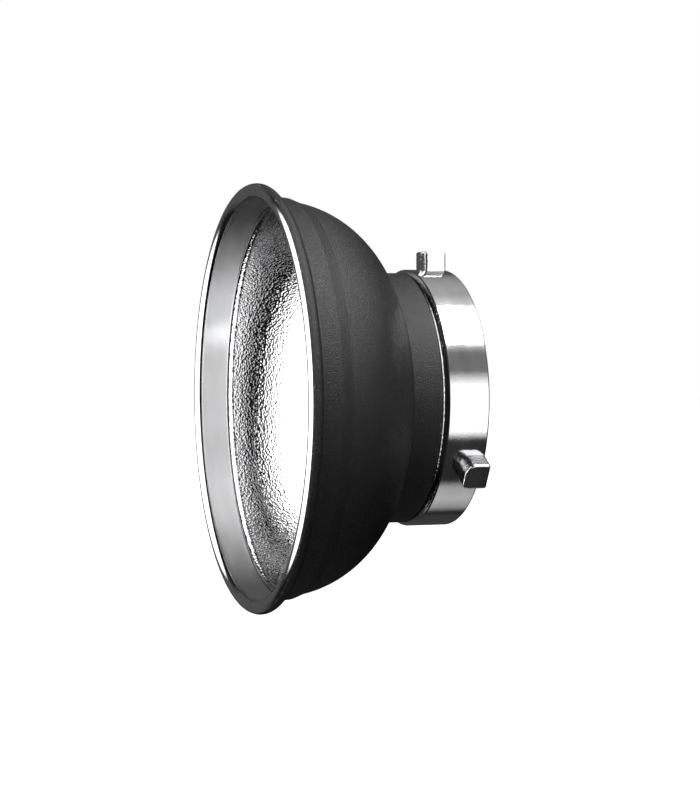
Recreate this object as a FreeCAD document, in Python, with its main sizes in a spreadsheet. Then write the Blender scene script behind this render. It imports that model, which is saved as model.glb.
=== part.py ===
import FreeCAD, Part
import math
import os

import Sketcher

# A spun metal reflector dish for a studio flash, with a three-lug bayonet ring behind its neck.
# Z is up and Y is the light's axis: the dish opens toward -Y, and the origin is the centre of the
# mount ring's rear face. Sizes are in millimetres. Each "_plane" is a distance in front of that face.

os.makedirs("parts", exist_ok=True)
doc = FreeCAD.newDocument("flash_reflector")

DIMENSIONS = (
    ("rim_radius", 90.0, "outside of the rolled rim bead"),
    ("bead_radius", 3.0, "round section of the bead"),
    ("bead_plane", 84.75, "middle of the bead"),
    ("recess_radius", 83.15, "inside of the grid recess at its inner end"),
    ("recess_plane", 72.7, "inner end of the grid recess"),
    ("sheet", 1.2, "thickness of the spun sheet"),
    ("ledge_plane", 71.2, "inside, where the grid's ledge meets the dome"),
    ("shoulder_plane", 68.0, "outside, the crease where the dome starts"),
    ("dome_radius", 47.1, "arc of the dome's outside"),
    ("dome_middle_radius", 36.2, "arc's middle, from the light's axis"),
    ("dome_middle_plane", 76.4, "arc's middle"),
    ("neck_radius", 53.4, "outside of the neck"),
    ("lamp_radius", 46.0, "opening for the lamp, in both flanges"),
    ("tight_bend", 1.2, "sharper bends in the sheet"),
    ("wide_bend", 2.4, "wider bends in the sheet"),
    ("ring_length", 20.75, "mount ring, front to back"),
    ("ring_radius", 54.9, "outside of the mount ring"),
    ("ring_wall", 2.4, "wall of the mount ring"),
    ("ring_flange", 1.6, "thickness of the ring's front flange"),
    ("nose_radius", 53.7, "front end of the ring's bevel"),
    ("nose_length", 2.65, "length of the ring's bevel"),
    ("ring_edge", 0.7, "chamfer at the ring's rear"),
    ("lug_length", 10.7, "lug along the light's axis"),
    ("lug_width", 11.6, "lug around the ring"),
    ("lug_tip", 62.6, "outer face of the lug, from the light's axis"),
    ("lug_setback", 0.3, "rear of the lug to the mount face"),
    ("lead_corner", 4.6, "front corner that enters the socket first"),
    ("trail_corner", 2.8, "other front corner"),
    ("rear_corner", 1.0, "rear corners"),
    ("lug_edge", 0.6, "bevel round the lug's outer face"),
    ("seat_radius", 52.7, "flat seat of the lug's screw, from the light's axis"),
    ("seat_width", 3.4, "radius of that seat"),
    ("screw_radius", 1.5, "thread"),
    ("screw_length", 8.0, "under the head"),
    ("screw_clearance", 1.7, "hole through the ring"),
    ("head_radius", 2.75, "domed screw head"),
    ("head_height", 1.65, "domed screw head"),
    ("socket_flats", 2.0, "hexagon socket"),
    ("socket_depth", 1.0, "hexagon socket"),
    ("hole_spare", 0.8, "lug hole beyond the screw's end"),
    ("washer_radius", 2.95, "lock washer"),
    ("washer_hole", 1.6, "lock washer"),
    ("washer_height", 0.8, "lock washer"),
    ("washer_slit", 0.6, "lock washer"),
    ("rivet_circle", 49.2, "rivets, from the light's axis"),
    ("rivet_radius", 1.6, "shank"),
    ("rivet_head_radius", 2.6, "domed head, inside the dish"),
    ("rivet_head_height", 1.1, "domed head"),
    ("rivet_tail_radius", 2.4, "flattened tail, inside the ring"),
    ("rivet_tail_height", 0.9, "flattened tail"),
    ("lug_count", 3, "lugs round the ring"),
    ("rivet_count", 6, "rivets through the flanges"),
)

LEFT = 1
RIGHT = -1
START = 1
END = 2
CENTRE = 3
ORIGIN = -1
FULL_TURN = 360
HEXAGON = 6
BEAD_ARCS = 3
CLOSE = 1e-4
LUG_MIDDLE = "-dims.lug_setback - dims.lug_length / 2"
UP = FreeCAD.Vector(0, 0, 1)
LIGHT_AXIS = FreeCAD.Vector(0, 1, 0)


def make_sheet():
    """Put every driving dimension in a cell with an alias."""
    sheet = doc.addObject("Spreadsheet::Sheet", "dims")
    for row, (alias, number, note) in enumerate(DIMENSIONS, 1):
        sheet.set(f"A{row}", alias)
        sheet.set(f"B{row}", str(number))
        sheet.set(f"C{row}", note)
        sheet.setAlias(f"B{row}", alias)
    doc.recompute()
    return sheet


dims = make_sheet()


def size(expression):
    """The present value of an expression on the sheet's cells."""
    return float(dims.evalExpression(expression))


def new_body(name):
    """An empty body whose label is the sub-part's name."""
    body = doc.addObject("PartDesign::Body", name)
    body.Label = name
    return body


def new_sketch(body, plane):
    """A sketch on one of the body's own origin planes."""
    sketch = body.newObject("Sketcher::SketchObject", f"{body.Name}_sketch")
    support = next(feature for feature in body.Origin.OriginFeatures if feature.Role == plane)
    sketch.AttachmentSupport = (support, [""])
    sketch.MapMode = "FlatFace"
    return sketch


def bind(sketch, constraint, expression):
    """Add a constraint whose value follows an expression."""
    sketch.setExpression(f"Constraints[{sketch.addConstraint(constraint)}]", expression)


def pin(sketch, edge, end, corner):
    """Hold a point at two distances from the sketch's origin."""
    for kind, expression in zip(("DistanceX", "DistanceY"), corner):
        bind(sketch, Sketcher.Constraint(kind, ORIGIN, START, edge, end, size(expression)), expression)


def add_arc(sketch, start, stop, radius, turn):
    """An arc from start to stop that turns left or right, with its ends in that order."""
    chord = stop - start
    length = size(radius)
    offset = turn * math.sqrt(length ** 2 - chord.Length ** 2 / 4) / chord.Length
    middle = (start + stop) / 2 + FreeCAD.Vector(-chord.y, chord.x) * offset
    ends = (start, stop) if turn == LEFT else (stop, start)
    angles = [math.atan2(point.y - middle.y, point.x - middle.x) for point in ends]
    edge = sketch.addGeometry(Part.ArcOfCircle(Part.Circle(middle, UP, length), *angles))
    bind(sketch, Sketcher.Constraint("Radius", edge, length), radius)
    return (edge, START, END) if turn == LEFT else (edge, END, START)


def add_outline(sketch, corners, arcs=()):
    """A closed outline through corners. Each of arcs is a corner's number, and its arc's radius and turn."""
    curved = {corner: (radius, turn) for corner, radius, turn in arcs}
    points = [FreeCAD.Vector(size(across), size(along)) for across, along in corners]
    edges = []
    for number, (start, stop) in enumerate(zip(points, points[1:] + points[:1])):
        if number in curved:
            edges.append(add_arc(sketch, start, stop, *curved[number]))
        else:
            edges.append((sketch.addGeometry(Part.LineSegment(start, stop)), START, END))
    for (edge, _, last), (following, first, _) in zip(edges, edges[1:] + edges[:1]):
        sketch.addConstraint(Sketcher.Constraint("Coincident", edge, last, following, first))
    for (edge, first, _), corner in zip(edges, corners):
        pin(sketch, edge, first, corner)


def add_circle(sketch, centre, radius):
    """A full circle about a pinned centre."""
    middle = FreeCAD.Vector(size(centre[0]), size(centre[1]))
    edge = sketch.addGeometry(Part.Circle(middle, UP, size(radius)))
    pin(sketch, edge, CENTRE, centre)
    bind(sketch, Sketcher.Constraint("Radius", edge, size(radius)), radius)


def revolve(body, sketch):
    """Turn a sketch round its own vertical axis, and add it to the body."""
    feature = body.newObject("PartDesign::Revolution", f"{body.Name}_turned")
    feature.Profile = sketch
    feature.ReferenceAxis = (sketch, ["V_Axis"])
    feature.Angle = FULL_TURN
    doc.recompute()


def pad(body, sketch, length):
    """Raise a sketch along its normal."""
    feature = body.newObject("PartDesign::Pad", f"{body.Name}_pad")
    feature.Profile = sketch
    feature.setExpression("Length", length)
    doc.recompute()


def pocket(body, sketch, depth=None, onward=False):
    """Cut a sketch out of the body, to a depth or right through; onward follows the sketch's normal."""
    before = body.Shape.Volume
    feature = body.newObject("PartDesign::Pocket", f"{body.Name}_pocket")
    feature.Profile = sketch
    feature.Reversed = onward
    if depth is None:
        feature.Type = "ThroughAll"
    else:
        feature.setExpression("Length", depth)
    doc.recompute()
    if body.Shape.Volume > before - CLOSE:
        raise RuntimeError(f"{feature.Name} removes nothing")
    return feature


def repeat_round(body, features, axis, count):
    """Repeat cuts round an axis of the sketch that they come from."""
    before = body.Shape.Volume
    pattern = body.newObject("PartDesign::PolarPattern", f"{body.Name}_pattern")
    pattern.Originals = features
    pattern.Axis = (features[0].Profile[0], [axis])
    pattern.Angle = FULL_TURN
    pattern.setExpression("Occurrences", count)
    body.Tip = pattern
    doc.recompute()
    if body.Shape.Volume > before - CLOSE:
        raise RuntimeError(f"{pattern.Name} removes nothing")


def dress(body, kind, edges, amount):
    """Round or bevel edges of the body as it stands: kind is Fillet or Chamfer."""
    base = body.Tip
    feature = body.newObject(f"PartDesign::{kind}", f"{body.Name}_{kind.lower()}")
    feature.Base = (base, edges)
    feature.setExpression("Radius" if kind == "Fillet" else "Size", amount)
    doc.recompute()


def name_edges(body, wanted):
    """The names of the body's edges for which wanted is true."""
    return [f"Edge{number}" for number, edge in enumerate(body.Shape.Edges, 1) if wanted(edge)]


def hoops(body, corners):
    """The names of the circular edges that corners of a turned outline leave."""
    places = [(size(radius), size(along)) for radius, along in corners]

    def wanted(edge):
        curve = edge.Curve
        if not isinstance(curve, Part.Circle):
            return False
        return any(math.hypot(curve.Radius - r, curve.Center.y - y) < CLOSE for r, y in places)

    return name_edges(body, wanted)


def posts(body, corners):
    """The names of the edges that stand along Z over corners of a flat outline."""
    places = [FreeCAD.Vector(size(across), size(along)) for across, along in corners]

    def wanted(edge):
        flat = [FreeCAD.Vector(vertex.X, vertex.Y) for vertex in edge.Vertexes]
        return any(all((point - place).Length < CLOSE for point in flat) for place in places)

    return name_edges(body, wanted)


def carry_out(body, azimuth, height, along):
    """Turn a body about the light's axis and carry it outward and along that axis."""
    body.Placement.Rotation = FreeCAD.Rotation(LIGHT_AXIS, azimuth)
    body.setExpression("Placement.Base.x", f"({height}) * sin({azimuth})")
    body.setExpression("Placement.Base.y", along)
    body.setExpression("Placement.Base.z", f"({height}) * cos({azimuth})")


def azimuths(count):
    """Equal steps round the light's axis, from straight up."""
    total = round(size(count))
    return [FULL_TURN * step / total for step in range(total)]


def add_rivet_holes(body):
    """Holes for the rivets, through a flange in front of the mount face."""
    sketch = new_sketch(body, "XZ_Plane")
    add_circle(sketch, ("0", "dims.rivet_circle"), "dims.rivet_radius")
    hole = pocket(body, sketch, onward=True)
    repeat_round(body, [hole], "N_Axis", "dims.rivet_count")


def build_reflector_bowl():
    """The spun dish: rolled bead, grid recess and ledge, shoulder, dome, neck and a flange turned inward."""
    body = new_body("reflector_bowl")
    bead = "-dims.bead_plane"
    mouth = "dims.rim_radius - 2 * dims.bead_radius"
    bead_foot = "sqrt(dims.bead_radius^2 - (dims.bead_radius - dims.sheet)^2)"
    recess = "-dims.recess_plane"
    flange = "-dims.ring_length"
    inner_dome = "(dims.dome_radius - dims.sheet)"
    inner_neck = "dims.neck_radius - dims.sheet"

    def dome_at(radius, plane):
        return f"dims.dome_middle_radius + sqrt({radius}^2 - ({plane} - dims.dome_middle_plane)^2)"

    def dome_end(radius, neck):
        return f"sqrt({radius}^2 - ({neck} - dims.dome_middle_radius)^2) - dims.dome_middle_plane"

    wall_corner = ("dims.recess_radius + dims.sheet", recess)
    shoulder = (dome_at("dims.dome_radius", "dims.shoulder_plane"), "-dims.shoulder_plane")
    neck_crease = ("dims.neck_radius", dome_end("dims.dome_radius", "dims.neck_radius"))
    neck_end = ("dims.neck_radius", flange)
    inner_crease = (inner_neck, dome_end(inner_dome, inner_neck))
    ledge = (dome_at(inner_dome, "dims.ledge_plane"), "-dims.ledge_plane")
    recess_corner = ("dims.recess_radius", recess)
    corners = (
        (mouth, bead),
        ("dims.rim_radius - dims.bead_radius", f"{bead} - dims.bead_radius"),
        ("dims.rim_radius", bead),
        (f"{mouth} + dims.sheet", f"{bead} + {bead_foot}"),
        wall_corner,
        shoulder,
        neck_crease,
        neck_end,
        ("dims.lamp_radius", flange),
        ("dims.lamp_radius", f"{flange} - dims.sheet"),
        (inner_neck, f"{flange} - dims.sheet"),
        inner_crease,
        ledge,
        recess_corner,
    )
    bead_arcs = [(corner, "dims.bead_radius", LEFT) for corner in range(BEAD_ARCS)]
    outer_arc = (corners.index(shoulder), "dims.dome_radius", LEFT)
    inner_arc = (corners.index(inner_crease), inner_dome, RIGHT)
    sketch = new_sketch(body, "XY_Plane")
    add_outline(sketch, corners, (*bead_arcs, outer_arc, inner_arc))
    revolve(body, sketch)
    dress(body, "Fillet", hoops(body, (shoulder, neck_crease, neck_end)), "dims.tight_bend")
    dress(body, "Fillet", hoops(body, (wall_corner, recess_corner, ledge, inner_crease)), "dims.wide_bend")
    add_rivet_holes(body)
    return body


def build_mount_ring():
    """The turned steel ring: bevelled nose, front flange, and seats for the lugs' screws."""
    body = new_body("mount_ring")
    front = "-dims.ring_length"
    bore = "dims.ring_radius - dims.ring_wall"
    rear_edges = (("dims.ring_radius", "0"), (bore, "0"))
    sketch = new_sketch(body, "XY_Plane")
    add_outline(sketch, (
        ("dims.lamp_radius", front),
        ("dims.nose_radius", front),
        ("dims.ring_radius", f"{front} + dims.nose_length"),
        *rear_edges,
        (bore, f"{front} + dims.ring_flange"),
        ("dims.lamp_radius", f"{front} + dims.ring_flange"),
    ))
    revolve(body, sketch)
    dress(body, "Chamfer", hoops(body, rear_edges), "dims.ring_edge")
    add_rivet_holes(body)
    cuts = []
    seat = ("dims.seat_width", "dims.seat_radius")
    clearance = ("dims.screw_clearance", "dims.ring_radius")
    for radius, depth in (seat, clearance):
        hole_sketch = new_sketch(body, "XY_Plane")
        add_circle(hole_sketch, ("0", LUG_MIDDLE), radius)
        cuts.append(pocket(body, hole_sketch, depth, onward=True))
    repeat_round(body, cuts, "V_Axis", "dims.lug_count")
    return body


def build_bayonet_lug(number, azimuth):
    """A square steel lug: rounded toward the dish, hollowed to sit on the ring, tapped from below."""
    body = new_body(f"bayonet_lug_{number}")
    left = "-dims.lug_width / 2"
    right = "dims.lug_width / 2"
    rear = "-dims.lug_setback"
    front = "-dims.lug_setback - dims.lug_length"
    plan = new_sketch(body, "XY_Plane")
    add_outline(plan, ((left, front), (right, front), (right, rear), (left, rear)))
    pad(body, plan, "dims.lug_tip")
    ring = new_sketch(body, "XZ_Plane")
    add_circle(ring, ("0", "0"), "dims.ring_radius")
    pocket(body, ring, onward=True)
    dress(body, "Fillet", posts(body, [(left, front)]), "dims.lead_corner")
    dress(body, "Fillet", posts(body, [(right, front)]), "dims.trail_corner")
    dress(body, "Fillet", posts(body, [(left, rear), (right, rear)]), "dims.rear_corner")
    tip = size("dims.lug_tip")
    outer_edges = name_edges(body, lambda edge: edge.BoundBox.ZMin > tip - CLOSE)
    dress(body, "Chamfer", outer_edges, "dims.lug_edge")
    hole = new_sketch(body, "XY_Plane")
    add_circle(hole, ("0", LUG_MIDDLE), "dims.screw_radius")
    hole_end = "dims.seat_radius - dims.washer_height + dims.screw_length + dims.hole_spare"
    pocket(body, hole, hole_end, onward=True)
    carry_out(body, azimuth, "0", "0")
    return body


def build_lug_screw(number, azimuth):
    """A domed hexagon-socket screw, turned outward from inside the ring; its origin is on its seat."""
    body = new_body(f"lug_screw_{number}")
    seat = "-dims.washer_height"
    crown = f"{seat} - dims.head_height"
    tip = f"{seat} + dims.screw_length"
    dome = "(dims.head_radius^2 + dims.head_height^2) / (2 * dims.head_height)"
    profile = new_sketch(body, "XZ_Plane")
    add_outline(profile, (
        ("0", crown),
        ("dims.head_radius", seat),
        ("dims.screw_radius", seat),
        ("dims.screw_radius", tip),
        ("0", tip),
    ), [(0, dome, LEFT)])
    revolve(body, profile)
    socket = new_sketch(body, "XY_Plane")
    steps = [FULL_TURN / HEXAGON * step for step in range(HEXAGON)]
    corner = "dims.socket_flats / sqrt(3)"
    add_outline(socket, [(f"{corner} * cos({step})", f"{corner} * sin({step})") for step in steps])
    socket.setExpression("AttachmentOffset.Base.z", crown)
    pocket(body, socket, "dims.socket_depth", onward=True)
    carry_out(body, azimuth, "dims.seat_radius", LUG_MIDDLE)
    return body


def build_lug_washer(number, azimuth):
    """A split lock washer, pressed flat between the screw's head and its seat."""
    body = new_body(f"lug_washer_{number}")
    disc = new_sketch(body, "XY_Plane")
    for radius in ("dims.washer_radius", "dims.washer_hole"):
        add_circle(disc, ("0", "0"), radius)
    disc.setExpression("AttachmentOffset.Base.z", "-dims.washer_height")
    pad(body, disc, "dims.washer_height")
    slit = new_sketch(body, "XY_Plane")
    near = "-dims.washer_slit / 2"
    far = "dims.washer_slit / 2"
    reach = "dims.washer_radius + dims.washer_slit"
    add_outline(slit, (("0", near), (reach, near), (reach, far), ("0", far)))
    pocket(body, slit)
    carry_out(body, azimuth, "dims.seat_radius", LUG_MIDDLE)
    return body


def build_flange_rivet(number, azimuth):
    """A domed rivet through both flanges; its origin is on the joint between them."""
    body = new_body(f"flange_rivet_{number}")
    head = "-dims.sheet"
    crown = f"{head} - dims.rivet_head_height"
    tail = "dims.ring_flange"
    end = f"{tail} + dims.rivet_tail_height"
    dome = "(dims.rivet_head_radius^2 + dims.rivet_head_height^2) / (2 * dims.rivet_head_height)"
    profile = new_sketch(body, "XY_Plane")
    add_outline(profile, (
        ("0", crown),
        ("dims.rivet_head_radius", head),
        ("dims.rivet_radius", head),
        ("dims.rivet_radius", tail),
        ("dims.rivet_tail_radius", tail),
        ("dims.rivet_tail_radius", end),
        ("0", end),
    ), [(0, dome, LEFT)])
    revolve(body, profile)
    carry_out(body, azimuth, "dims.rivet_circle", "-dims.ring_length")
    return body


def build_all():
    """Every sub-part, in the order in which it would be assembled."""
    bodies = [build_reflector_bowl(), build_mount_ring()]
    for number, azimuth in enumerate(azimuths("dims.rivet_count"), 1):
        bodies.append(build_flange_rivet(number, azimuth))
    for number, azimuth in enumerate(azimuths("dims.lug_count"), 1):
        bodies.append(build_bayonet_lug(number, azimuth))
        bodies.append(build_lug_washer(number, azimuth))
        bodies.append(build_lug_screw(number, azimuth))
    doc.recompute()
    return bodies


def check(bodies):
    """Stop if any object failed to build, or any body isn't one sound solid."""
    failed = [item.Name for item in doc.Objects if {"Invalid", "Error"} & set(item.State)]
    if failed:
        raise RuntimeError(f"these objects failed: {failed}")
    for body in bodies:
        shape = body.Shape
        if shape.isNull() or not shape.isValid() or len(shape.Solids) != 1:
            raise RuntimeError(f"{body.Label} isn't one sound solid")


def export(bodies):
    """Write each sub-part to its own file, and print its extent."""
    for body in bodies:
        body.Shape.exportStep(f"parts/{body.Label}.step")
        box = body.Shape.optimalBoundingBox(False, False)
        print(f"{body.Label}: {box.XLength:.2f} x {box.YLength:.2f} x {box.ZLength:.2f} mm")


sub_parts = build_all()
check(sub_parts)
export(sub_parts)
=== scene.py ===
import math

import bpy
import numpy as np
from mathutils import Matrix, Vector


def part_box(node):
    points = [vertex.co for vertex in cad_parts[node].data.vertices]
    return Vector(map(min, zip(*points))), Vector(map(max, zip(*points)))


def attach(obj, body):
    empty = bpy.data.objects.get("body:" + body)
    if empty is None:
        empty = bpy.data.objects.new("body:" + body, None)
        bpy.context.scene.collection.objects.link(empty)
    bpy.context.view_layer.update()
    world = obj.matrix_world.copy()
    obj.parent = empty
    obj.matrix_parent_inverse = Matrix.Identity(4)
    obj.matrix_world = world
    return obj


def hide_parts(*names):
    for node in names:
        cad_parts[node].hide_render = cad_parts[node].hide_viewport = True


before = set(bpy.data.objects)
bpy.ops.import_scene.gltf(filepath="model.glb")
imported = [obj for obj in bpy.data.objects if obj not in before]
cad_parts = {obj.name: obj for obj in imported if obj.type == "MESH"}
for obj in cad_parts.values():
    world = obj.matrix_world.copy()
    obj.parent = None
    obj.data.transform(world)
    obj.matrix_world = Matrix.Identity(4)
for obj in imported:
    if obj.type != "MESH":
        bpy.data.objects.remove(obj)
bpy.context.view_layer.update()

# A studio flash reflector in metres: the dish opens toward -Y, Z is up, and the origin is the
# centre of the mount ring's rear face. The CAD bowl, ring and lugs are replaced by finer meshes of
# nearly the same shape, and the fasteners are the CAD nodes with better materials. A place in a
# profile is given as along, which is Y, and out, which is the distance from the Y axis.

MM = 0.001
BODY = "root"

bowl_low, bowl_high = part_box("reflector_bowl")
_, ring_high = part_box("mount_ring")
lug_low, lug_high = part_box("bayonet_lug_1")

RIM_RADIUS = bowl_high[0]
RIM_FRONT = bowl_low[1]
NECK_END = bowl_high[1]
RING_RADIUS = ring_high[0]
RING_REAR = ring_high[1]

# The bowl. DEPTH and BACK are distances behind the plane through the middle of the rim's bead, and
# BEND is the radius of the recess's two corners.
BEAD_RADIUS = 3.0 * MM
SHEET = 1.2 * MM
RECESS_DEPTH = 12.05 * MM
RECESS_RADIUS = RIM_RADIUS - 6.85 * MM
LEDGE_BACK = 13.55 * MM
SHOULDER_BACK = 16.75 * MM
DOME_RADIUS = 47.1 * MM
DOME_MIDDLE_RADIUS = 36.2 * MM
DOME_MIDDLE_BACK = 8.35 * MM
NECK_RADIUS = RING_RADIUS - 1.5 * MM
LAMP_RADIUS = 46.0 * MM
BEND = 2.4 * MM

# The bowl's layers: how thick each modelled half is, how far the paint stands off the bead, where
# it starts on the bead in degrees from the outermost point, and how far it laps over the ring.
LAYER = 0.5 * MM
COAT = 0.06 * MM
PAINT_ANGLE = -38
# The lap is a black lip sunk in the ring's groove. It is painted shade, standing in for the dark
# gap between the neck and the ring.
SHADE_LIP = 0.75 * MM

# The corners of the ring's nose in mm: how far behind the neck's end, and inside the ring's side.
NOSE = [(0, 2.3), (1.1, 2.3), (1.1, 1.45), (1.55, 1.12), (3.1, 0.62), (3.4, 0)]
BEVEL_END = NECK_END + NOSE[-2][0] * MM

# A plane clear of the part, for a finish that stays the same all over its piece.
FAR = 1.0

BEAD_PLANE = RIM_FRONT + BEAD_RADIUS
BEAD_MIDDLE = RIM_RADIUS - BEAD_RADIUS
MOUTH_RADIUS = RIM_RADIUS - 2 * BEAD_RADIUS
PAINT_START = BEAD_PLANE + BEAD_RADIUS * math.sin(math.radians(PAINT_ANGLE))
RECESS_PLANE = BEAD_PLANE + RECESS_DEPTH
LEDGE_PLANE = BEAD_PLANE + LEDGE_BACK
SHOULDER_PLANE = BEAD_PLANE + SHOULDER_BACK
DOME_MIDDLE_PLANE = BEAD_PLANE + DOME_MIDDLE_BACK
INNER_DOME = DOME_RADIUS - SHEET


# ---------------------------------------------------------------- outlines

def arc(centre, radius, start, stop, count):
    """Points on an arc. Angles are in degrees from the outward direction toward +Y."""
    angles = np.radians(np.linspace(start, stop, count))
    return [(centre[0] + radius * math.sin(a), centre[1] + radius * math.cos(a)) for a in angles]


def rounded(corners, count=7):
    """A path through corners of (along, out, radius), each rounded with count points."""
    path = []
    for number, (along, out, radius) in enumerate(corners):
        here = Vector((along, out))
        if radius == 0 or number in (0, len(corners) - 1):
            path.append(tuple(here))
            continue
        before = (Vector(corners[number - 1][:2]) - here).normalized()
        after = (Vector(corners[number + 1][:2]) - here).normalized()
        half = before.angle(after) / 2
        reach = radius / math.tan(half)
        middle = here + (before + after).normalized() * (radius / math.sin(half))
        first = here + before * reach - middle
        last = here + after * reach - middle
        for step in range(count):
            spoke = first.slerp(last, step / (count - 1)).normalized() * radius
            path.append(tuple(middle + spoke))
    return path


def offset(path, distance):
    """A path moved sideways, to the left of its direction when distance is positive."""
    points = np.array(path)
    run = np.diff(points, axis=0)
    run /= np.linalg.norm(run, axis=1)[:, None]
    side = np.stack([-run[:, 1], run[:, 0]], axis=1)
    both = np.vstack([side[:1], side]) + np.vstack([side, side[-1:]])
    both *= 2 * distance / np.sum(both ** 2, axis=1)[:, None]
    return [tuple(p) for p in points + both]


def dome_out(along, radius):
    """How far out the dome is at a place along the axis."""
    return DOME_MIDDLE_RADIUS + math.sqrt(radius ** 2 - (along - DOME_MIDDLE_PLANE) ** 2)


def dome_along(out, radius):
    """Where along the axis the dome has a distance out."""
    return DOME_MIDDLE_PLANE + math.sqrt(radius ** 2 - (out - DOME_MIDDLE_RADIUS) ** 2)


def dome_arc(start, stop, radius, count):
    """The dome's outline between two places along the axis."""
    first, last = [math.degrees(math.asin((along - DOME_MIDDLE_PLANE) / radius))
                   for along in (start, stop)]
    return arc((DOME_MIDDLE_PLANE, DOME_MIDDLE_RADIUS), radius, first, last, count)


def resample(path, step):
    """The same path with points at most step apart."""
    points = [path[0]]
    for start, stop in zip(path, path[1:]):
        count = max(1, math.ceil(math.dist(start, stop) / step))
        for number in range(1, count + 1):
            share = number / count
            points.append(tuple(a + (b - a) * share for a, b in zip(start, stop)))
    return points


# ---------------------------------------------------------------- meshes

def make_object(name, verts, faces, smooth_angle):
    """A piece from vertices and faces, smooth except at edges sharper than smooth_angle degrees."""
    mesh = bpy.data.meshes.new(name)
    mesh.from_pydata(verts, [], faces)
    mesh.validate()
    mesh.polygons.foreach_set("use_smooth", [True] * len(mesh.polygons))
    mesh.set_sharp_from_angle(angle=math.radians(smooth_angle))
    piece = bpy.data.objects.new(name, mesh)
    bpy.context.scene.collection.objects.link(piece)
    piece.modifiers.new("flat_faces", "WEIGHTED_NORMAL").keep_sharp = True
    return piece


def lathe(name, profile, segments, lift=None, smooth_angle=32):
    """A closed profile turned round the Y axis.

    lift takes the profile and the turns, and gives a height off the surface for each step and turn.
    """
    ring = np.array(profile)
    count = len(ring)
    turns = np.arange(segments) * (2 * math.pi / segments)
    along = np.repeat(ring[:, :1], segments, axis=1)
    out = np.repeat(ring[:, 1:], segments, axis=1)
    if lift is not None:
        tangent = np.roll(ring, -1, axis=0) - np.roll(ring, 1, axis=0)
        tangent /= np.linalg.norm(tangent, axis=1)[:, None]
        height = lift(ring, turns)
        along = along + height * tangent[:, 1:]
        out = out - height * tangent[:, :1]
    verts = np.stack([out * np.sin(turns), along, out * np.cos(turns)], axis=2).reshape(-1, 3)
    step, turn = np.meshgrid(np.arange(count), np.arange(segments), indexing="ij")
    next_step = (step + 1) % count
    next_turn = (turn + 1) % segments
    quads = [step * segments + turn, step * segments + next_turn,
             next_step * segments + next_turn, next_step * segments + turn]
    faces = np.stack(quads, axis=2).reshape(-1, 4)
    return make_object(name, verts.tolist(), faces.tolist(), smooth_angle)


def finish_piece(piece, material, node):
    """Give a piece its material and its place in the frame, and hide the CAD node that it stands in
    for.
    """
    piece.data.materials.append(material)
    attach(piece, BODY)
    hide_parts(node)


def pebbles(cells_round, cell_length, height, first, last):
    """Rounded grains for lathe(), between two steps of its profile.

    Each has its top at a jittered point on a grid of cells, and its own height.
    """
    draw = np.random.default_rng(7)

    def lift(ring, turns):
        run = np.concatenate([[0], np.cumsum(np.linalg.norm(np.diff(ring, axis=0), axis=1))])
        rows = math.ceil(run[-1] / cell_length) + 2
        jitter = draw.random((rows, cells_round, 3))
        u = turns / (2 * math.pi) * cells_round
        v = run / cell_length
        grid_v, grid_u = np.meshgrid(v, u, indexing="ij")
        cell_u, cell_v = np.floor(grid_u).astype(int), np.floor(grid_v).astype(int)
        nearest = np.full(grid_u.shape, 9.0)
        grain = np.zeros(grid_u.shape)
        for dv in (-1, 0, 1):
            for du in (-1, 0, 1):
                row = np.clip(cell_v + dv, 0, rows - 1)
                column = (cell_u + du) % cells_round
                spot = jitter[row, column]
                apart = np.hypot(
                    cell_u + du + spot[..., 0] - grid_u, cell_v + dv + spot[..., 1] - grid_v)
                closer = apart < nearest
                nearest = np.where(closer, apart, nearest)
                grain = np.where(closer, spot[..., 2], grain)
        bump = height * (0.5 + 0.5 * grain) * np.clip(1 - nearest ** 2, 0, 1)
        inside = (np.arange(len(ring)) > first) & (np.arange(len(ring)) < last)
        return bump * inside[:, None]

    return lift


# ---------------------------------------------------------------- materials

def new_material(name, **values):
    """A material and its shader, with constant values on the shader's own sockets."""
    material = bpy.data.materials.new(name)
    material.use_nodes = True
    shader = material.node_tree.nodes["Principled BSDF"]
    for socket, value in values.items():
        shader.inputs[socket.replace("_", " ")].default_value = value
    return material, shader


def add_node(owner, kind, links=(), **values):
    """A node with values on its inputs or properties, and links as (input, source socket)."""
    node = owner.node_tree.nodes.new(kind)
    for key, value in values.items():
        if key.replace("_", " ") in node.inputs:
            node.inputs[key.replace("_", " ")].default_value = value
        else:
            setattr(node, key, value)
    for target, source in links:
        owner.node_tree.links.new(source, node.inputs[target])
    return node


def object_place(material, scale):
    """The object's own coordinates, scaled by a vector."""
    place = add_node(material, "ShaderNodeTexCoord").outputs["Object"]
    return add_node(material, "ShaderNodeMapping", [("Vector", place)], Scale=scale).outputs[0]


def along_axis(material):
    """How far along the Y axis a point is."""
    place = object_place(material, (1, 1, 1))
    return add_node(material, "ShaderNodeSeparateXYZ", [(0, place)]).outputs[1]


def noise(material, scale, detail=2.0, stretch=(1, 1, 1)):
    """Noise with so many lumps to the metre."""
    place = object_place(material, stretch)
    node = add_node(material, "ShaderNodeTexNoise", [("Vector", place)], Scale=scale, Detail=detail)
    return node.outputs["Fac"]


def cells(material, scale):
    """Distance from the middle of the nearest of scattered cells, so many to the metre."""
    place = object_place(material, (1, 1, 1))
    node = add_node(material, "ShaderNodeTexVoronoi", [("Vector", place)], Scale=scale)
    return node.outputs["Distance"]


def spread(owner, source, low, high, start=0.3, stop=0.7):
    """A value from start to stop mapped on to low to high, and kept inside that."""
    node = add_node(owner, "ShaderNodeMapRange", [("Value", source)])
    for name, value in (("From Min", start), ("From Max", stop), ("To Min", low), ("To Max", high)):
        node.inputs[name].default_value = value
    return node.outputs["Result"]


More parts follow.
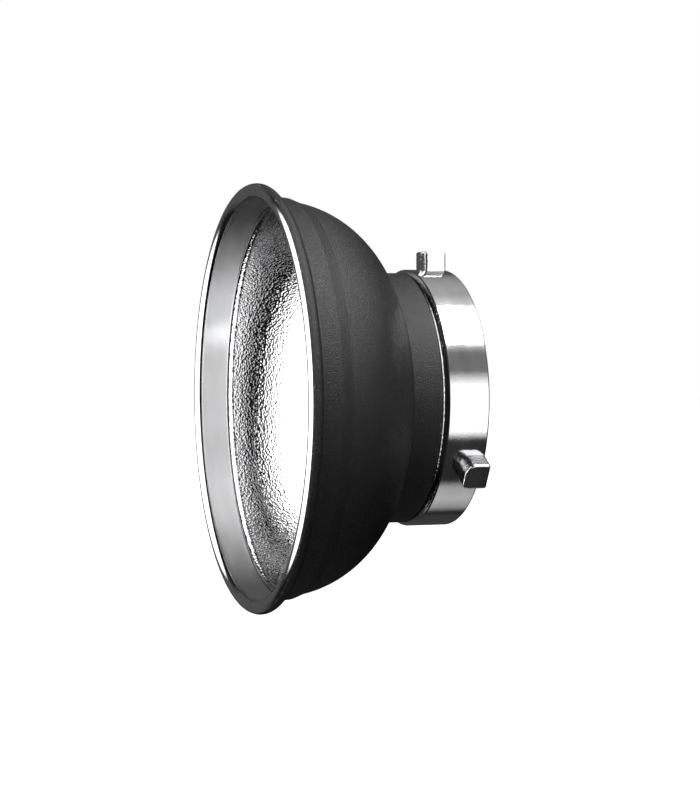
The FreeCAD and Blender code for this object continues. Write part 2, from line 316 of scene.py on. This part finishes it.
def ramp(owner, source, stops):
    """A value mapped on to colours, given as (position, colour)."""
    node = add_node(owner, "ShaderNodeValToRGB", [("Fac", source)])
    elements = node.color_ramp.elements
    while len(elements) < len(stops):
        elements.new(0.5)
    for element, (position, colour) in zip(elements, stops):
        element.position = position
        element.color = (*colour, 1)
    return node.outputs["Color"]


def blend(material, source, dark, light):
    """Noise mapped on to two colours."""
    return ramp(material, source, ((0.3, dark), (0.7, light)))


def compute(owner, operation, *sources):
    """A math node on sockets or numbers."""
    node = add_node(owner, "ShaderNodeMath", operation=operation)
    for number, source in enumerate(sources):
        if isinstance(source, (int, float)):
            node.inputs[number].default_value = source
        else:
            owner.node_tree.links.new(source, node.inputs[number])
    return node.outputs[0]


def bump(material, height, distance, strength=None, under=None):
    """A bump of a height field. strength is a socket, and under is the normal that it lies on."""
    links = [("Height", height)]
    if strength is not None:
        links.append(("Strength", strength))
    if under is not None:
        links.append(("Normal", under))
    node = add_node(material, "ShaderNodeBump", links, Distance=distance, Strength=1.0)
    return node.outputs["Normal"]


def connect(material, shader, **sources):
    """Link sources to the shader's inputs."""
    for socket, source in sources.items():
        material.node_tree.links.new(source, shader.inputs[socket.replace("_", " ")])


def near(material, along, plane):
    """1 within 0.2 mm of a plane across the Y axis, falling to 0 at 0.9 mm."""
    apart = compute(material, "ABSOLUTE", compute(material, "SUBTRACT", along, plane))
    return spread(material, apart, 1, 0, 0.2 * MM, 0.9 * MM)


def powder_coat():
    """Black paint with a fine orange-peel grain, scuffed at its edge on the bead and at its lip."""
    material, shader = new_material("powder_coat", Specular_IOR_Level=0.38)
    grain = noise(material, 2000, 3)
    swell = noise(material, 420, 1)
    speckle = noise(material, 1000, 2)
    fine = bump(material, grain, 0.42 * MM)
    along = along_axis(material)
    paint_edge, shade_lip_edge = [near(material, along, plane) for plane in (PAINT_START, NECK_END + SHADE_LIP)]
    edges = compute(material, "MAXIMUM", paint_edge, shade_lip_edge)
    spots = spread(material, noise(material, 700, 4), 0, 1, 0.57, 0.68)
    scuffs = compute(material, "MULTIPLY", edges, spots)
    colour = blend(material, grain, (0.001, 0.001, 0.001), (0.009, 0.009, 0.0094))
    scuffed = add_node(
        material, "ShaderNodeMixRGB", [("Fac", scuffs), ("Color1", colour)],
        Color2=(0.11, 0.11, 0.115, 1),
    )
    connect(
        material, shader,
        Base_Color=scuffed.outputs[0],
        Roughness=spread(material, speckle, 0.36, 0.52),
        Normal=bump(material, swell, 0.08 * MM, under=fine),
    )
    return material


def pebbled_metal():
    """Bright etched aluminium with small grains, which stand up from the middles of their cells."""
    material, shader = new_material("pebbled_metal", Metallic=1.0)
    grain = cells(material, 1000)
    fine = noise(material, 2600, 2)
    patches = noise(material, 90, 3)
    pebble = bump(material, grain, -0.15 * MM)
    connect(
        material, shader,
        Base_Color=blend(material, patches, (0.73, 0.73, 0.74), (0.85, 0.85, 0.85)),
        Roughness=spread(material, fine, 0.03, 0.06),
        Normal=bump(material, fine, 0.01 * MM, under=pebble),
    )
    return material


def turned_metal(name, colour, rough, line_height, lines=7000, brushed=0.0, pits=0.0,
                 sleek=FAR, worn=-FAR):
    """Metal with fine turning lines round the Y axis and faint smears.

    lines is how many there are to the metre, brushed spreads its shine across them, and pits is the
    depth of its small pits. It is polished behind the plane sleek, and pitted most in front of the
    plane worn.
    """
    fade = 0.3 * MM
    material, shader = new_material(
        name, Metallic=1.0, Anisotropic=brushed, Anisotropic_Rotation=0.25)
    turning = noise(material, 1, 1, stretch=(25, lines, 25))
    smears = noise(material, 60, 3, stretch=(1, 4, 1))
    along = along_axis(material)
    wear = spread(material, along, 1, 0.12, worn - fade, worn + fade)
    ripple = bump(material, noise(material, 1100, 2), pits, strength=wear)
    round_axis = add_node(material, "ShaderNodeTangent", direction_type="RADIAL", axis="Y")
    dark = tuple(value * 0.92 for value in colour)
    satin = spread(material, along, 1, 0.15, sleek, sleek + fade)
    smeared = spread(material, smears, rough * 0.85, rough * 1.2)
    connect(
        material, shader,
        Base_Color=blend(material, smears, dark, colour),
        Roughness=compute(material, "MULTIPLY", smeared, satin),
        Normal=bump(material, turning, line_height, under=ripple),
        Tangent=round_axis.outputs[0],
    )
    return material


def plated_metal(name, colour, rough):
    """Plain grainy metal for fasteners."""
    material, shader = new_material(name, Metallic=1.0)
    grain = noise(material, 2200, 2)
    connect(
        material, shader,
        Base_Color=blend(material, grain, tuple(value * 0.75 for value in colour), colour),
        Roughness=spread(material, grain, rough * 0.8, rough * 1.3),
        Normal=bump(material, grain, 0.02 * MM),
    )
    return material


# ---------------------------------------------------------------- the dish

SEGMENTS = 480
PEBBLE_SEGMENTS = 680
RING_SEGMENTS = 512
BEAD_POINTS = 48

# How many points of recess_path() are on the smooth band. The rest are on the pebbled ledge.
SMOOTH_POINTS = 7


def outer_path():
    """The painted outside: over the bead, along wall, shoulder, dome and neck, and round a black
    lip in the ring's groove, which is painted shade for the dark gap between neck and ring.
    """
    foot = math.degrees(math.acos((MOUTH_RADIUS + SHEET - BEAD_MIDDLE) / BEAD_RADIUS))
    over_bead = arc((BEAD_PLANE, BEAD_MIDDLE), BEAD_RADIUS + COAT, PAINT_ANGLE, foot, 20)
    crease = dome_along(NECK_RADIUS, DOME_RADIUS)
    dome = dome_arc(SHOULDER_PLANE + 2 * MM, crease - 0.8 * MM, DOME_RADIUS, 38)
    shade_lip_top, shade_lip_foot, shade_lip_edge = NECK_RADIUS - 0.6 * MM, NECK_RADIUS - 0.65 * MM, 0.05 * MM
    wall = rounded([
        (*over_bead[-1], 0),
        (RECESS_PLANE, RECESS_RADIUS + SHEET, 3 * MM),
        (SHOULDER_PLANE, dome_out(SHOULDER_PLANE, DOME_RADIUS), 1.4 * MM),
        (*dome[0], 0),
    ])
    neck = rounded([
        (*dome[-1], 0),
        (crease, NECK_RADIUS, 0.9 * MM),
        # The lip behind the neck's end is painted shade: black paint in the ring's groove, where
        # the gap between neck and ring is dark.
        (NECK_END + SHADE_LIP, NECK_RADIUS, 0.5 * MM),
        (NECK_END + SHADE_LIP, shade_lip_top, shade_lip_edge),
        (NECK_END, shade_lip_foot, shade_lip_edge),
        (NECK_END, LAMP_RADIUS, 0),
    ])
    return over_bead + wall[1:] + dome[1:] + neck[1:]


def make_outer_skin(material):
    """The painted outer half of the sheet."""
    outside = outer_path()
    back = offset(outside, -LAYER)[::-1]
    skin = lathe("dish_outer_skin", outside + back, SEGMENTS)
    finish_piece(skin, material, "reflector_bowl")


def make_rim_bead(material):
    """The rolled rim, bare in front."""
    circle = arc((BEAD_PLANE, BEAD_MIDDLE), BEAD_RADIUS, 0, 360, BEAD_POINTS + 1)[:-1]
    bead = lathe("rim_bead", circle, SEGMENTS)
    finish_piece(bead, material, "reflector_bowl")


def recess_path():
    """The inside, from the mouth along the recess and over its ledge to the start of the dome."""
    dome_start = LEDGE_PLANE + 1.5 * MM
    return rounded([
        (BEAD_PLANE, MOUTH_RADIUS, 0),
        (RECESS_PLANE, RECESS_RADIUS, BEND),
        (LEDGE_PLANE, dome_out(LEDGE_PLANE, INNER_DOME), BEND),
        (dome_start, dome_out(dome_start, INNER_DOME), 0),
    ], count=9)


def make_recess_band(material):
    """The smooth tapered wall that a grid slides into."""
    inside = recess_path()[:SMOOTH_POINTS]
    back = offset(inside, LAYER)[::-1]
    band = lathe("grid_recess_band", inside + back, SEGMENTS)
    finish_piece(band, material, "reflector_bowl")


def make_reflector(material):
    """The pebbled inner half of the sheet: ledge, dome, neck and the flange's front."""
    neck = NECK_RADIUS - SHEET
    crease = dome_along(neck, INNER_DOME)
    ledge = recess_path()[SMOOTH_POINTS - 1:]
    dome = dome_arc(ledge[-1][0], crease - 1.2 * MM, INNER_DOME, 60)
    end = rounded([
        (*dome[-1], 0),
        (crease, neck, 2.2 * MM),
        (NECK_END - SHEET, neck, 0.4 * MM),
        (NECK_END - SHEET, LAMP_RADIUS, 0),
    ], count=4)
    front = resample(ledge + dome[1:], step=0.8 * MM)
    rear = end[1:]
    sparse = 6
    back = offset(front[::sparse] + rear, LAYER)[::-1]
    grains = pebbles(
        cells_round=400, cell_length=1.25 * MM, height=0.012 * MM, first=2, last=len(front) - 2)
    dish = lathe("dish_reflector", front + rear + back, PEBBLE_SEGMENTS, grains, smooth_angle=40)
    finish_piece(dish, material, "reflector_bowl")


# ---------------------------------------------------------------- the ring and its lugs

def make_ring(material):
    """The chromed mount ring: grooved and bevelled nose, long collar, bore and front flange."""
    bore = RING_RADIUS - 2.4 * MM
    flange = 1.6 * MM
    nose = [(NECK_END + back * MM, RING_RADIUS - inside * MM, 0) for back, inside in NOSE]
    profile = rounded([
        (NECK_END, LAMP_RADIUS, 0),
        *nose,
        (RING_REAR, RING_RADIUS, 0.8 * MM),
        (RING_REAR, bore, 0.5 * MM),
        (NECK_END + flange, bore, 0.3 * MM),
        (NECK_END + flange, LAMP_RADIUS, 0),
    ])
    ring = lathe("chrome_mount_ring", profile, RING_SEGMENTS, smooth_angle=20)
    finish_piece(ring, material, "mount_ring")


def lug_outline(half_width, front, rear, radii, inset, count=9):
    """A rectangle with four rounded corners, drawn in by inset.

    radii go round from the front left corner. Each corner of the loop is its side, its end, and the
    angle in degrees where its arc starts.
    """
    corners = ((-1, -1, 180), (1, -1, 270), (1, 1, 0), (-1, 1, 90))
    least = 0.1 * MM
    points = []
    for (side, end, first), radius in zip(corners, radii):
        turn = max(radius - inset, least)
        x = side * (half_width - inset - turn)
        y = front + inset + turn if end < 0 else rear - inset - turn
        for angle in np.radians(np.linspace(first, first + 90, count)):
            points.append((x + turn * math.cos(angle), y + turn * math.sin(angle)))
    return points


def make_lug(number, azimuth, material):
    """A polished lug with rounded edges, sunk a little into the ring's curve.

    It is made upright in levels of (inset, height) from its seat to its end face, and then turned
    to its azimuth in degrees.
    """
    half_width = lug_high[0]
    front, rear, tip = lug_low[1], lug_high[1], lug_high[2]
    radii = (4.6 * MM, 2.8 * MM, 1 * MM, 1 * MM)
    edge, sunk = 0.8 * MM, 0.1 * MM
    levels = [(0.0, None), (0.0, tip - edge)]
    for angle in np.radians(np.linspace(15, 90, 6)):
        levels.append((edge * (1 - math.cos(angle)), tip - edge * (1 - math.sin(angle))))
    levels.append((half_width * 0.7, tip))
    verts = []
    for inset, height in levels:
        for x, y in lug_outline(half_width, front, rear, radii, inset):
            seat = math.sqrt((RING_RADIUS - sunk) ** 2 - x ** 2)
            verts.append(Vector((x, y, seat if height is None else height)))
    count = len(verts) // len(levels)
    faces = [list(range(count))[::-1], list(range(len(verts) - count, len(verts)))]
    for level in range(len(levels) - 1):
        for point in range(count):
            nearby = (point + 1) % count
            low, high = level * count, (level + 1) * count
            faces.append([low + point, low + nearby, high + nearby, high + point])
    turn = math.radians(azimuth)
    cos, sin = math.cos(turn), math.sin(turn)
    turned = [(v.x * cos + v.z * sin, v.y, v.z * cos - v.x * sin) for v in verts]
    lug = make_object(f"polished_lug_{number}", turned, faces, smooth_angle=30)
    finish_piece(lug, material, f"bayonet_lug_{number}")


def repaint_fasteners(steel, aluminium):
    """Give the CAD screws, washers and rivets their materials."""
    finishes = {"lug_screw": steel, "lug_washer": steel, "flange_rivet": aluminium}
    for name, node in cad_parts.items():
        for start, material in finishes.items():
            if name.startswith(start):
                for holder in node.material_slots:
                    holder.material = material


# ---------------------------------------------------------------- stage, light and camera

# The world's brightness by direction round the Y axis, as (degrees from +X toward +Z, level).
WORLD_STEPS = (
    (-180, 0.05), (-130, 0.05), (-126, 0.01), (-122, 0.05), (-114, 0.4), (-100, 0.62), (-86, 0.5),
    (-78, 0.03), (-36, 0.04), (-29, 1.7), (11, 1.7), (24, 0.22), (42, 0.2), (52, 0.8), (88, 0.8),
    (99, 0.7), (106, 0.5), (118, 0.5), (135, 0.36), (150, 0.08),
)

# The camera's direction from the part in degrees, round from -Y toward +X and up, its distance in
# metres, and the point that it looks at, near the part's middle.
VIEW_AZIMUTH, VIEW_ELEVATION = 71.38, 1.55
VIEW_DISTANCE = 0.8849
AIM = (0, RING_REAR - 41.8 * MM, -0.77 * MM)


def add_panel(name, turn, place, width, length, power):
    """A soft panel light, turned by angles in degrees, which the camera itself doesn't see."""
    lamp = bpy.data.lights.new(name, "AREA")
    lamp.shape = "RECTANGLE"
    lamp.size, lamp.size_y = width, length
    lamp.energy = power
    holder = bpy.data.objects.new(name, lamp)
    bpy.context.scene.collection.objects.link(holder)
    holder.location = place
    holder.rotation_euler = [math.radians(angle) for angle in turn]
    holder.visible_camera = False


def front_light(world, x, y, z):
    """The light from in front of the part.

    It is a bright disc ahead of the dish, which reaches a little further up than down. Round the
    disc it is nearly dark, darker still straight up and down, with a faint glow from the far side.
    """
    lean = compute(world, "MULTIPLY_ADD", compute(world, "MAXIMUM", z, 0), -0.2, y)
    disc = spread(world, lean, 2.2, 0.01, -0.67, -0.61)
    ahead = compute(world, "MULTIPLY", disc, spread(world, x, 0, 1, -0.93, -0.84))
    off_floor = spread(world, z, 0.1, 1, -0.92, -0.86)
    level = compute(world, "MULTIPLY", off_floor, spread(world, z, 1, 0.1, 0.88, 0.95))
    glow = spread(world, x, 0.08, 0, -0.9, -0.7)
    return compute(world, "ADD", compute(world, "MULTIPLY", ahead, level), glow)


def side_light(world, x, y, z):
    """The light from beside and behind the part.

    It is WORLD_STEPS round the Y axis, dimmed toward +Y, and dimmed there sooner below the part and
    on its far side, -X.
    """
    turn = spread(world, compute(world, "ARCTAN2", z, x), 0, 1, -math.pi, math.pi)
    steps = [((angle + 180) / 360, (level,) * 3) for angle, level in WORLD_STEPS]
    round_axis = ramp(world, turn, steps)
    far_side, below = spread(world, x, 0.95, 0, -0.5, 0.2), spread(world, z, 0.9, 0, -0.6, -0.2)
    away = compute(world, "MAXIMUM", far_side, below)
    dimmed = compute(world, "MULTIPLY", spread(world, y, 0, 1, 0.36, 0.55), away)
    sideways = compute(world, "SUBTRACT", 1, dimmed)
    shade = compute(world, "MULTIPLY", sideways, spread(world, y, 1, 0.3, 0.5, 0.75))
    return add_node(
        world, "ShaderNodeVectorMath", [(0, round_axis), (1, shade)], operation="MULTIPLY"
    ).outputs[0]


def make_world():
    """White to the camera, and a studio of light and dark zones to everything else.

    The zones are fixed in the part's frame, and were set to match the photograph's light.
    """
    world = bpy.data.worlds.new("studio")
    bpy.context.scene.world = world
    world.use_nodes = True
    world.node_tree.nodes.clear()
    place = add_node(world, "ShaderNodeTexCoord")
    direction = add_node(world, "ShaderNodeSeparateXYZ", [(0, place.outputs["Generated"])]).outputs
    front = front_light(world, *direction)
    side = side_light(world, *direction)
    behind = spread(world, direction[1], 0, 1, -0.02, 0.06)
    room = add_node(
        world, "ShaderNodeMixRGB", [("Fac", behind), ("Color1", front), ("Color2", side)])
    studio = add_node(world, "ShaderNodeBackground", [("Color", room.outputs[0])])
    white = add_node(world, "ShaderNodeBackground", Color=(1, 1, 1, 1))
    path = add_node(world, "ShaderNodeLightPath")
    both = add_node(world, "ShaderNodeMixShader", [
        (0, path.outputs["Is Camera Ray"]), (1, studio.outputs[0]), (2, white.outputs[0])])
    add_node(world, "ShaderNodeOutputWorld", [("Surface", both.outputs[0])])


def make_floor():
    """A wide pale floor well below the part. The part doesn't reflect it or take light from it."""
    size, height = 12.0, -0.42
    mesh = bpy.data.meshes.new("pale_floor")
    corners = [(x * size, y * size, height) for x, y in ((-1, -1), (1, -1), (1, 1), (-1, 1))]
    mesh.from_pydata(corners, [], [(0, 1, 2, 3)])
    floor = bpy.data.objects.new("pale_floor", mesh)
    bpy.context.scene.collection.objects.link(floor)
    material, _ = new_material(
        "pale_floor", Base_Color=(0.9, 0.9, 0.9, 1), Roughness=0.9,
        Emission_Color=(1, 1, 1, 1), Emission_Strength=0.7,
    )
    mesh.materials.append(material)
    floor.visible_diffuse = False
    floor.visible_glossy = False


def make_camera():
    """A long lens at the photo's angle: a little above the axis, and forward of square to it."""
    azimuth, elevation = math.radians(VIEW_AZIMUTH), math.radians(VIEW_ELEVATION)
    level = math.cos(elevation)
    back = Vector((math.sin(azimuth) * level, -math.cos(azimuth) * level, math.sin(elevation)))
    data = bpy.data.cameras.new("camera")
    data.sensor_width = 36.0
    data.lens = 93.5
    data.clip_start = 0.02
    data.clip_end = 60.0
    camera = bpy.data.objects.new("camera", data)
    bpy.context.scene.collection.objects.link(camera)
    camera.location = Vector(AIM) + back * VIEW_DISTANCE
    camera.rotation_mode = "QUATERNION"
    camera.rotation_quaternion = (-back).to_track_quat("-Z", "Y")
    bpy.context.scene.camera = camera


make_camera()
make_world()
make_floor()
add_panel(
    "top_softbox", turn=(0, 21.5, 0), place=(0.44, 0.42, 1.12), width=0.8, length=0.8, power=34)
bpy.context.scene.view_settings.view_transform = "Standard"

paint = powder_coat()
bare = turned_metal("bare_rim", (0.88, 0.88, 0.89), rough=0.12, line_height=0.003 * MM)
satin = turned_metal(
    "satin_band", (0.94, 0.94, 0.95), rough=0.36, line_height=0.004 * MM, lines=5000, brushed=1.0,
    sleek=RECESS_PLANE - 1.2 * MM)
chrome = turned_metal(
    "chrome_plate", (0.72, 0.72, 0.73), rough=0.1, line_height=0.003 * MM, pits=0.12 * MM,
    worn=BEVEL_END)
polish = turned_metal(
    "polished_lug", (0.78, 0.78, 0.79), rough=0.15, line_height=0.002 * MM, pits=0.13 * MM,
    worn=FAR)
steel = plated_metal("fastener_steel", (0.5, 0.5, 0.51), rough=0.32)
soft_metal = plated_metal("rivet_aluminium", (0.8, 0.8, 0.81), rough=0.3)

make_outer_skin(paint)
make_rim_bead(bare)
make_recess_band(satin)
make_reflector(pebbled_metal())
make_ring(chrome)
for lug in range(3):
    make_lug(lug + 1, 120 * lug, polish)
repaint_fasteners(steel, soft_metal)
